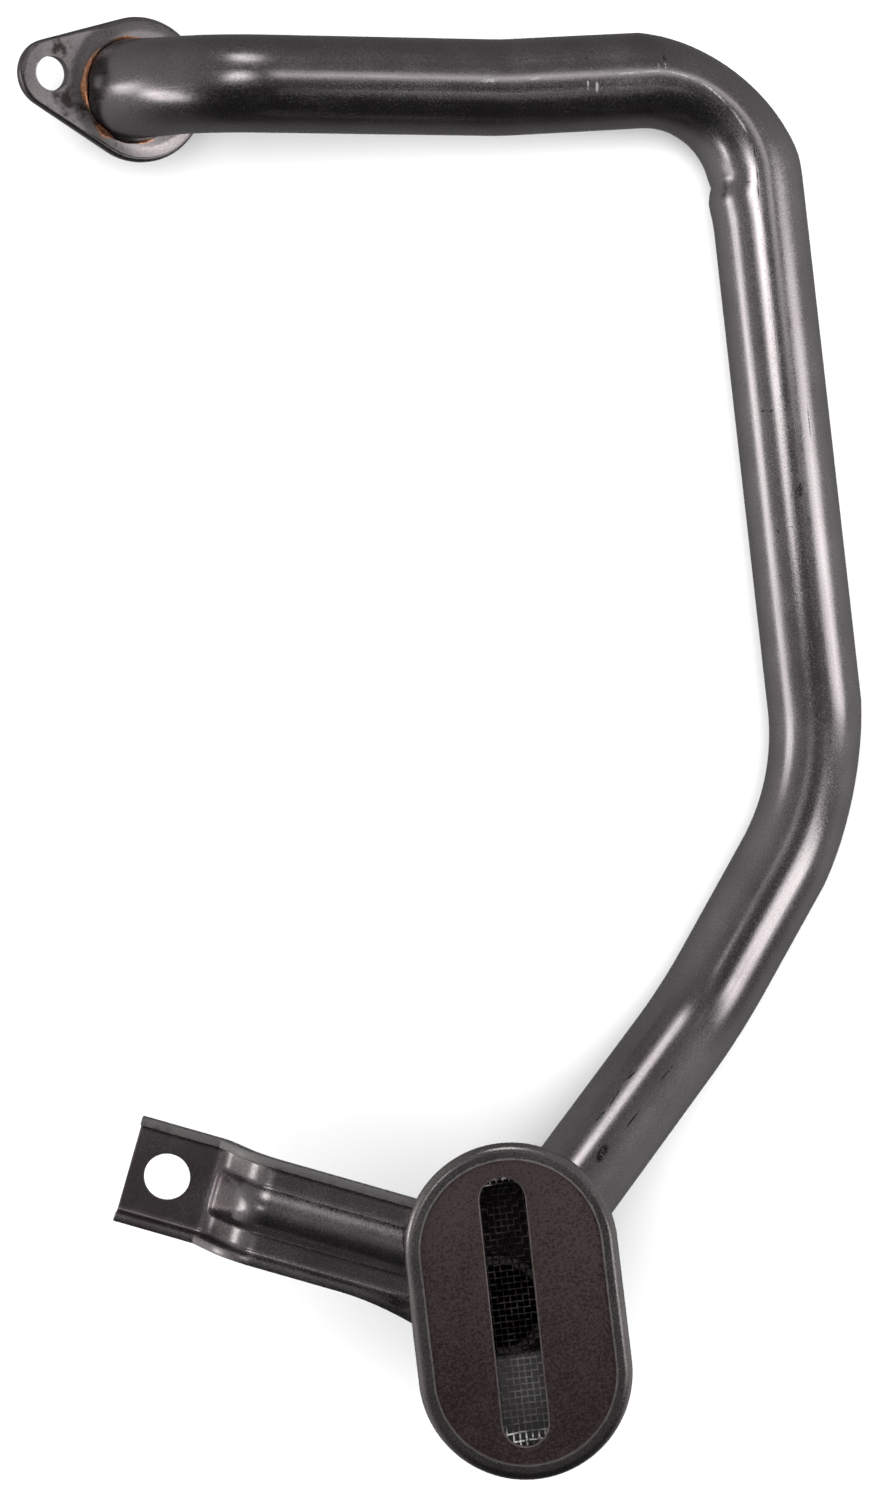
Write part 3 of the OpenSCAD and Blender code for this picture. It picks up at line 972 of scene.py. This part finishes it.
def speckle(tree, place, size, detail=2):
    """Noise whose marks are about so many millimetres across."""
    scale = 1 / (size * MM)
    return node(tree, "TexNoise", {"Vector": place, "Scale": scale, "Detail": detail}).outputs["Fac"]


def remap(tree, value, low, high, to_low=0, to_high=1, kind="SMOOTHSTEP"):
    """A value carried from one range to another, and held at its ends."""
    ranges = {"Value": value, "From Min": low, "From Max": high, "To Min": to_low, "To Max": to_high}
    return node(tree, "MapRange", ranges, interpolation_type=kind).outputs["Result"]


def blend(tree, share, first, second):
    """One colour going over to another."""
    ends = [c if isinstance(c, bpy.types.NodeSocket) else (*c, 1) for c in (first, second)]
    inputs = {"Factor": share, 6: ends[0], 7: ends[1]}
    return node(tree, "Mix", inputs, data_type="RGBA").outputs[2]


def sum_of(tree, *parts):
    """A weighted sum of values, given as pairs of weight and value."""
    total = 0.0
    for weight, value in parts:
        total = maths(tree, "MULTIPLY_ADD", value, weight, total)
    return total


def bump(tree, shader, height, depth):
    """Raises the surface by a height that goes from 0 to 1 over a depth in millimetres."""
    relief = node(tree, "Bump", {"Height": height, "Distance": depth * MM, "Strength": 1.0})
    tree.links.new(relief.outputs["Normal"], shader.inputs["Normal"])


def feed(tree, shader, **values):
    """Links sockets to the shader's inputs, with words joined by an underscore."""
    for name, value in values.items():
        tree.links.new(value, shader.inputs[name.replace("_", " ").title()])


def turned_place(tree, place, middle, rotation, scale):
    """Coordinates from a middle, in a turned frame, as shares of a scale."""
    inputs = {"Vector": place, "Location": middle, "Rotation": rotation, "Scale": scale}
    return node(tree, "Mapping", inputs, vector_type="TEXTURE").outputs["Vector"]


def axes_from(tree, place, middle_mm, turn):
    """The axes of a place in a frame turned about the upright, in millimetres."""
    local = turned_place(tree, place, middle_mm * MM, (0, 0, turn), (MM, MM, MM))
    return node(tree, "SeparateXYZ", {"Vector": local})


# Sizes of the noises in the metal, in millimetres
GRAIN = 0.45
CLOUDS = 9.0
LINES = 0.5
STAINS = 26.0
# Lines are drawn out along the tube
ALONG_TUBE = (1, 1, 0.012)
# The range that a noise mostly keeps to, and how far it makes a steel rougher or smoother
TONE_RANGE = (0.36, 0.64)
ROUGH_SWING = 0.07
# Light tone, dark tone and roughness of each steel
TUBE_STEEL = ((0.40, 0.37, 0.375), (0.31, 0.28, 0.288), 0.24)
FLANGE_STEEL = ((0.33, 0.30, 0.305), (0.205, 0.182, 0.186), 0.32)
BRACKET_STEEL = ((0.50, 0.46, 0.465), (0.35, 0.315, 0.32), 0.25)
SHELL_STEEL = ((0.46, 0.42, 0.42), (0.33, 0.30, 0.302), 0.26)
# Tones laid over the steels
RUBBED_TONE = (0.85, 0.84, 0.84)
DARK_TONE = (0.045, 0.04, 0.04)
SMUDGE_TONE = (0.07, 0.055, 0.056)
# The tones below are painted light and shade: shade on the bracket's flat end, light on its cut edges,
# highlights on the hem and slot edges, shade and light inside the head, glints on the screen
FLAT_SHADE_TONE = (0.27, 0.225, 0.235)
CUT_EDGE_LIGHT_TONE = (0.62, 0.59, 0.59)
HEM_HIGHLIGHT_TONE = (0.85, 0.80, 0.78)
INSIDE_SHADE_TONE = (0.12, 0.10, 0.10)
INSIDE_LIT_TONE = (0.085, 0.08, 0.081)
SLOT_HIGHLIGHT_TONE = (0.36, 0.31, 0.30)
PAINTED_GLINT_TONE = (0.80, 0.78, 0.77)
# Dark and light ends of the other skins
PLATE_TONES = ((0.086, 0.056, 0.057), (0.198, 0.15, 0.147))
# Painted shade and painted light of the screen's wire
SHADED_WIRE = ((0.06, 0.045, 0.047), (0.2, 0.175, 0.175))
LIT_WIRE = ((0.155, 0.14, 0.145), (0.31, 0.295, 0.295))
COPPER = ((0.62, 0.27, 0.14), (0.92, 0.50, 0.32))
THIN_BRAZE = (0.15, 0.115, 0.105)


def satin_steel(name, light, dark, roughness, coordinates=object_place, drawn=(1, 1, 1)):
    """Dull satin steel: a fine grain, lines along the way it was drawn, and cloudy tarnish."""
    material, tree, shader = new_material(name)
    place = coordinates(tree)
    grain = speckle(tree, place, GRAIN)
    lines = speckle(tree, stretched(tree, place, drawn), LINES, 3)
    clouds = speckle(tree, place, CLOUDS, 4)
    stains = speckle(tree, place, STAINS, 3)
    tone = sum_of(tree, (0.35, grain), (0.3, clouds), (0.35, stains))
    colour = blend(tree, remap(tree, tone, *TONE_RANGE), dark, light)
    gloss = sum_of(tree, (0.4, grain), (0.3, lines), (0.3, clouds))
    rough = remap(tree, gloss, 0.3, 0.7, roughness - ROUGH_SWING, roughness + ROUGH_SWING)
    feed(tree, shader, base_color=colour, roughness=rough)
    shader.inputs["Metallic"].default_value = 1
    bump(tree, shader, sum_of(tree, (0.6, grain), (0.4, lines)), 0.015)
    return material, tree, place


def scratch(tree, place, skin, start, end, width):
    """Mask of a mark on the tube that runs between two pixels of the photo, so many millimetres wide."""
    first, last = (along_tube(seen_at(skin, pixel)) for pixel in (start, end))
    turn = math.remainder(last.angle - first.angle, 2 * math.pi)
    middle = first.angle + turn / 2
    along = last.along - first.along
    aside = turn * TUBE_R
    centre = unrolled_place(middle, (first.along + last.along) / 2)
    half_len = (math.hypot(along, aside) + width) / 2
    size = Vector((TUBE_R / 2, width / 2, half_len)) * MM
    local = turned_place(tree, place, centre, (math.atan2(-aside, along), 0, middle), size)
    return remap(tree, measure(tree, "LENGTH", local), 0.5, 1.0, 1, 0)


def all_scratches(tree, place, skin, marks):
    """One mask of many marks."""
    total = 0.0
    for start, end, width in marks:
        mask = scratch(tree, place, skin, start, end, width)
        total = maths(tree, "MAXIMUM", mask, total)
    return total


# Marks that the photo shows on the tube, each from pixel to pixel with its width in millimetres
RUBBED_MARKS = (
    ((481, 81), (497, 80), 0.9), ((530, 79), (541, 78), 0.5), ((588, 80), (588, 90), 0.5),
    ((597, 82), (597, 92), 0.8), ((616, 74), (640, 72), 0.6), ((640, 72), (664, 71), 0.4),
    ((664, 71), (699, 81), 0.5), ((699, 81), (729, 107), 0.6), ((729, 107), (748, 135), 0.7),
    ((658, 63), (659, 69), 0.4), ((665, 62), (666, 69), 0.4), ((774, 410), (781, 410), 0.4),
    ((786, 525), (793, 525), 0.4),
)
DARK_MARKS = (
    ((586, 56), (586, 60), 0.7), ((664, 55), (665, 60), 0.8), ((752, 141), (756, 165), 0.35),
    ((756, 165), (759, 201), 0.35), ((800, 483), (800, 486), 0.7), ((800, 487), (800, 489), 1.4),
    ((799, 491), (799, 493), 2.2), ((760, 411), (767, 411), 0.5), ((770, 412), (773, 410), 0.4),
    ((777, 529), (779, 533), 0.5), ((789, 526), (793, 527), 0.3), ((807, 402), (811, 441), 0.25),
    ((675, 1063), (658, 1084), 0.35), ((642, 1107), (622, 1133), 0.4), ((638, 1069), (626, 1080), 0.6),
    ((622, 1086), (608, 1108), 0.45), ((606, 1110), (594, 1123), 0.5), ((606, 1146), (598, 1160), 2.4),
    ((743, 183), (752, 181), 0.3),
)


def lay_over(material, share, tone, rougher):
    """Lays another tone and roughness over a steel where a mask is set."""
    tree = material.node_tree
    shader = tree.nodes["Principled BSDF"]
    colour = shader.inputs["Base Color"].links[0].from_socket
    rough = shader.inputs["Roughness"].links[0].from_socket
    feed(tree, shader, base_color=blend(tree, share, colour, tone),
         roughness=sum_of(tree, (1, rough), (rougher, share)))


def product(tree, first, second):
    """Two masks multiplied."""
    return maths(tree, "MULTIPLY", first, second)


def patch(tree, place, centre_mm, reach_mm):
    """Mask of a ragged round patch."""
    away = measure(tree, "DISTANCE", place, Vector(centre_mm) * MM)
    ragged = sum_of(tree, (1 / (reach_mm * MM), away), (3, speckle(tree, place, reach_mm / 1.5, 6)))
    return remap(tree, ragged, 1.6, 2.6, 1, 0)


def tube_finish(tube):
    """The tube's drawn steel with the rubbed and dark marks that it carries."""
    material, tree, place = satin_steel("tube_steel", *TUBE_STEEL, tube_place, ALONG_TUBE)
    skin = skin_of(tube)
    broken = remap(tree, speckle(tree, place, 0.5), 0.36, 0.52, 0.15, 1)
    rubbed = product(tree, all_scratches(tree, place, skin, RUBBED_MARKS), broken)
    lay_over(material, rubbed, RUBBED_TONE, 0.18)
    dark = product(tree, all_scratches(tree, place, skin, DARK_MARKS), broken)
    lay_over(material, dark, DARK_TONE, 0.36)
    return material


# Dark smudges on the flange: the pixel that shows each one and its reach in millimetres
FLANGE_SMUDGES = (((66, 100), 3.2), ((60, 47), 2.2), ((84, 108), 1.6))


def flange_finish(flange):
    """The flange's dull steel with the dark smudges that it carries."""
    material, tree, place = satin_steel("flange_steel", *FLANGE_STEEL)
    skin = skin_of(flange)
    for pixel, reach in FLANGE_SMUDGES:
        lay_over(material, patch(tree, place, seen_at(skin, pixel), reach), SMUDGE_TONE, 0.12)
    return material


# Reach of the painted shade over the bracket's flat end, round its bolt hole
FLAT_SHADE_R = 15


def bracket_finish():
    """The bracket's stamped steel, with painted light along its cut edges, strongest on the upper side,
    and painted shade over the flat end round its bolt hole.
    """
    material, tree, place = satin_steel("bracket_steel", *BRACKET_STEEL)
    hole = bracket_frame() @ Vector((BRACKET_HOLE_IN - BRACKET_LEN, 0, -JOGGLE_RISE))
    # Painted shade: the flat end round the bolt hole is darkened
    lay_over(material, patch(tree, place, hole, FLAT_SHADE_R), FLAT_SHADE_TONE, 0.06)
    cut_edge = node(tree, "Attribute", attribute_name="cut_edge").outputs["Fac"]
    axes = axes_from(tree, place, bracket_frame().translation, HEAD_TURN + BRACKET_TURN)
    across = axes.outputs["Y"]
    # Painted light along the cut edges, broken up by noise and strongest on the upper side
    lit_cut_edge = product(tree, cut_edge, remap(tree, speckle(tree, place, 1.2, 3), 0.35, 0.55, 0.4, 1))
    lit_cut_edge = product(tree, lit_cut_edge, remap(tree, across, -2, 2, 0.1, 1))
    lay_over(material, lit_cut_edge, CUT_EDGE_LIGHT_TONE, 0.5)
    return material


def in_head(tree, place, shift_mm, turn):
    """A place in the head's own frame, in millimetres, shifted along it and turned."""
    return axes_from(tree, place, head_frame() @ Vector((shift_mm, 0, 0)), HEAD_TURN + turn)


def oval_reach(tree, axes, half_straight):
    """Distance from the middle line of an upright oval, in millimetres."""
    past = maths(tree, "SUBTRACT", maths(tree, "ABSOLUTE", axes.outputs["Y"]), half_straight)
    past = maths(tree, "MAXIMUM", past, 0.0)
    corner = node(tree, "CombineXYZ", {"X": axes.outputs["X"], "Y": past}).outputs["Vector"]
    return measure(tree, "LENGTH", corner)


HEM_W = 3.1
INSIDE_DROP = 3.5
# Inside the head, the lower part carries painted light and the rest painted shade
LIT_PART_Y = -9.4


def shell_finish():
    """The shell's pressed steel, with a painted highlight along the hem's inner edge, painted shade inside
    and painted light on the lower part inside.
    """
    material, tree, place = satin_steel("shell_steel", *SHELL_STEEL)
    axes = in_head(tree, place, 0, 0)
    reach = oval_reach(tree, axes, HALF_STRAIGHT)
    ragged = sum_of(tree, (1, reach), (0.5, speckle(tree, place, 1.5, 3)))
    # Painted highlight along the hem's inner edge
    edge = remap(tree, ragged, HEAD_R - HEM_W + 0.45, HEAD_R - HEM_W + 0.7, 1, 0)
    lay_over(material, edge, HEM_HIGHLIGHT_TONE, 0.1)
    # Painted shade inside the shell, below its rim
    below = remap(tree, axes.outputs["Z"], -INSIDE_DROP, -INSIDE_DROP + 1, 1, 0)
    inside = remap(tree, reach, WALL_R - 0.6, WALL_R - 0.4, 1, 0)
    painted_shade_inside = product(tree, below, inside)
    lay_over(material, painted_shade_inside, INSIDE_SHADE_TONE, 0.15)
    # Painted light on the lower part inside, less metallic so that the fill lights it
    painted_lit = product(tree, painted_shade_inside, remap(tree, axes.outputs["Y"], LIT_PART_Y - 1, LIT_PART_Y, 1, 0))
    lay_over(material, painted_lit, INSIDE_LIT_TONE, 0.2)
    shader = tree.nodes["Principled BSDF"]
    feed(tree, shader, metallic=remap(tree, painted_lit, 0, 1, 1, 0.3))
    return material


def braze_finish():
    """Copper braze: bright where it pooled, and drawn out thin and dull over the steel elsewhere."""
    material, tree, shader = new_material("copper_braze")
    place = object_place(tree)
    grain = speckle(tree, place, 0.5, 3)
    patches = speckle(tree, place, 2.2, 3)
    pooled = node(tree, "Attribute", attribute_name="pooled").outputs["Fac"]
    cover = sum_of(tree, (1, pooled), (0.7, patches), (0.25, grain))
    copper = blend(tree, remap(tree, grain, 0.35, 0.65), *COPPER)
    colour = blend(tree, remap(tree, cover, 0.85, 1.15), THIN_BRAZE, copper)
    rough = remap(tree, sum_of(tree, (0.6, patches), (0.4, grain)), 0.35, 0.65, 0.28, 0.5)
    feed(tree, shader, base_color=colour, roughness=rough)
    shader.inputs["Metallic"].default_value = 1
    bump(tree, shader, sum_of(tree, (0.5, grain), (0.5, patches)), 0.06)
    return material


SLOT_LEN = 50.3
SLOT_W = 8.5
SLOT_X = -0.8
SLOT_TURN = math.radians(-0.8)
SLOT_EDGE = 0.3


def plate_finish():
    """The inlet plate's dull brown-grey skin, with painted light that grows towards the head's +Y end and
    a painted highlight along the edge of its slot.
    """
    material, tree, shader = new_material("plate_steel")
    place = object_place(tree)
    grain = speckle(tree, place, GRAIN, 3)
    clouds = speckle(tree, place, CLOUDS, 3)
    tone = sum_of(tree, (0.85, grain), (0.15, clouds))
    axes = in_head(tree, place, SLOT_X, SLOT_TURN)
    # Painted light: the plate grows lighter towards the head's +Y end
    fade = remap(tree, axes.outputs["Y"], -HEAD_R, HEAD_R + HALF_STRAIGHT, -0.03, 0.09)
    skin = blend(tree, remap(tree, sum_of(tree, (1, tone), (1, fade)), *TONE_RANGE, 0, 1), *PLATE_TONES)
    feed(tree, shader, base_color=skin, roughness=remap(tree, tone, *TONE_RANGE, 0.46, 0.6))
    shader.inputs["Metallic"].default_value = 0.95
    bump(tree, shader, tone, 0.02)
    # Painted highlight along the edge of the slot
    reach = oval_reach(tree, axes, (SLOT_LEN - SLOT_W) / 2)
    ragged = sum_of(tree, (1, reach), (0.4, speckle(tree, place, 2, 3)))
    edge = SLOT_W / 2 + SLOT_EDGE
    lay_over(material, remap(tree, ragged, edge + 0.08, edge + 0.25, 1, 0), SLOT_HIGHLIGHT_TONE, -0.15)
    return material


# The screen's wall rises into the light between these depths
GLINT_DEPTHS = (-7, -5)


def wire_finish():
    """The screen's drawn wire: painted shade above, painted light in its lower part, and painted glints
    where its wall rises.
    """
    material, tree, shader = new_material("screen_wire")
    place = object_place(tree)
    grain = speckle(tree, place, 0.3)
    clouds = speckle(tree, place, 3.5, 2)
    tone = sum_of(tree, (0.4, grain), (0.6, clouds))
    # Painted shade on the upper wires and painted light on the lower ones, less metallic so that the fill
    # lights them
    dark = blend(tree, remap(tree, tone, 0.4, 0.62), *SHADED_WIRE)
    light = blend(tree, remap(tree, tone, 0.4, 0.6), *LIT_WIRE)
    axes = in_head(tree, place, 0, 0)
    height = sum_of(tree, (1, axes.outputs["Y"]), (0.6, grain))
    painted_lit = remap(tree, height, LIT_PART_Y - 0.3, LIT_PART_Y + 0.6, 1, 0)
    rough = remap(tree, grain, 0.3, 0.7, 0.3, 0.5)
    feed(tree, shader, base_color=blend(tree, painted_lit, dark, light), roughness=rough)
    # Painted glints where the wall rises, less metallic so that the fill lights them
    risen = remap(tree, axes.outputs["Z"], *GLINT_DEPTHS)
    painted_glints = product(tree, risen, remap(tree, tone, 0.44, 0.54))
    lay_over(material, painted_glints, PAINTED_GLINT_TONE, -0.12)
    feed(tree, shader, metallic=remap(tree, sum_of(tree, (0.25, painted_lit), (0.4, painted_glints)), 0, 1, 1, 0))
    return material


# Pieces

tube = make_tube()
copper = braze_finish()

settle(tube, tube_finish(tube), "tube_steel", "suction_tube")
flange = make_flange()
settle(flange, flange_finish(flange), "flange_steel", "pump_flange")
shell = copy_of_node("pickup_shell", "head_shell")
smooth(shell)
settle(shell, shell_finish(), "shell_steel", "pickup_shell")
settle(bevelled_copy("inlet_plate", "plate", 0.25), plate_finish(), "plate_steel", "inlet_plate")
settle(make_screen(), wire_finish(), "screen_wire", "strainer_screen")
settle(make_bracket(), bracket_finish(), "bracket_steel", "support_bracket")
at_flange = flange_frame() @ Matrix.Translation((0, 0, FLANGE_TOP))
settle(braze_ring("braze_at_flange", foot_out, flange_pooled, at_flange), copper, "braze", "flange_braze")
neck_end = Vector((UNDER_HEAD.x, UNDER_HEAD.y, NECK_END_Z))
at_neck = Matrix.Translation(neck_end) @ Matrix.Rotation(math.pi, 4, "X")
settle(braze_ring("braze_at_neck", lambda angle: 0, neck_pooled, at_neck), copper, "braze", "neck_braze")
groove = copy_of_node("bracket_braze", "braze_at_bracket")
smooth(groove)
note_points(groove, "pooled", [GROOVE_POOLED] * len(groove.data.vertices))
settle(groove, copper, "braze", "bracket_braze")


# The studio

def make_camera():
    """A camera straight above, as the photo was taken."""
    data = bpy.data.cameras.new("camera")
    data.lens = CAMERA_LENS
    data.clip_start = 0.01
    data.clip_end = 20
    camera = bpy.data.objects.new("camera", data)
    camera.location = CAMERA_PLACE
    bpy.context.scene.collection.objects.link(camera)
    bpy.context.scene.camera = camera


FLOOR_SIZE = 6
FLOOR_GAP = 0.02


def make_floor():
    """A plain pale floor, kept out of the metal's reflections."""
    start_fresh()
    bpy.ops.mesh.primitive_plane_add(size=FLOOR_SIZE, location=(0, 0, FLOOR_Z - FLOOR_GAP * MM))
    floor = bpy.context.object
    floor.name = "floor"
    material, tree, shader = new_material("pale_floor")
    shader.inputs["Base Color"].default_value = (0.9, 0.9, 0.9, 1)
    shader.inputs["Roughness"].default_value = 0.9
    floor.data.materials.append(material)
    floor.visible_glossy = False


def softbox(name, place, target, size, radiance, spread=180, glossy=True):
    """A soft light at a place, in millimetres, that faces a target; a grid can narrow its spread."""
    outward = (Vector(place) - Vector(target)).normalized()
    data = bpy.data.lights.new(name, "AREA")
    data.shape = "RECTANGLE"
    data.size = size[0] * MM
    data.size_y = size[1] * MM
    data.energy = radiance * math.pi * data.size * data.size_y
    if spread < 180:
        half = math.radians(spread / 2)
        data.spread = 2 * half
        data.energy *= 1 - half / math.tan(half)
    light = bpy.data.objects.new(name, data)
    light.location = Vector(place) * MM
    light.rotation_euler = outward.to_track_quat("Z", "Y").to_euler()
    light.visible_camera = False
    light.visible_glossy = glossy
    bpy.context.scene.collection.objects.link(light)


# The room's grey overhead and to the sides, and the way it is dark, with the share left there
ROOM_ABOVE = 0.14
ROOM_ASIDE = 0.38
ROOM_SHADE = 0.15
DARK_WAY = pointing(-80, 28)


def make_world():
    """A dim grey room, lighter to both sides and dark towards the foot of the picture."""
    world = bpy.data.worlds.new("studio")
    world.use_nodes = True
    tree = world.node_tree
    ray = node(tree, "TexCoord").outputs["Generated"]
    sideways = node(tree, "SeparateXYZ", {"Vector": ray}).outputs["X"]
    sides = product(tree, sideways, sideways)
    facing = measure(tree, "DOT_PRODUCT", ray, DARK_WAY)
    room = remap(tree, sides, 0, 1, ROOM_ABOVE, ROOM_ASIDE, "LINEAR")
    shade = remap(tree, facing, 0.26, 0.9, 1, ROOM_SHADE)
    grey = product(tree, room, shade)
    tree.links.new(grey, tree.nodes["Background"].inputs["Color"])
    bpy.context.scene.world = world


# Each softbox: its name, place, target and size in millimetres, its radiance and its spread
SOFTBOXES = (
    ("right_box", (362, -35, 150), (133, 5, 0), (160, 180), 6.0, 54),
    ("lower_right_box", (325, -268, 205), (126, -163, 0), (90, 260), 4.4, 32),
    ("upper_right_box", (325, -264, 400), (126, -163, 0), (110, 170), 4.0, 30),
    ("left_box", (-446, -108, 165), (131, -108, 0), (260, 210), 3.3, 34),
    ("elbow_side_box", (-297, -164, 220), (8, -2, 20), (260, 80), 4.4, 36),
    ("overhead_box", (62, 15, 220), (115, -16, 0), (185, 135), 5.4, 28),
    ("elbow_box", (-40, 80, 700), (8, -2, 20), (220, 220), 3, 22),
    ("top_right_box", (330, 170, 700), (-15, 10, 10), (300, 300), 1.9, 22),
    ("top_box", (60, 640, 700), (100, -205, 0), (360, 520), 4, 26),
    ("bracket_box", (-180, -120, 656), (15, -215, 45), (170, 170), 2.8, 17),
)


def make_lights():
    """The softboxes, and a fill that only the floor shows."""
    for box in SOFTBOXES:
        softbox(*box)
    softbox("fill", (60, -100, 1400), (60, -100, 0), (1600, 1600), 5, glossy=False)
    make_world()
    bpy.context.scene.view_settings.view_transform = "Standard"


make_camera()
make_floor()
make_lights()
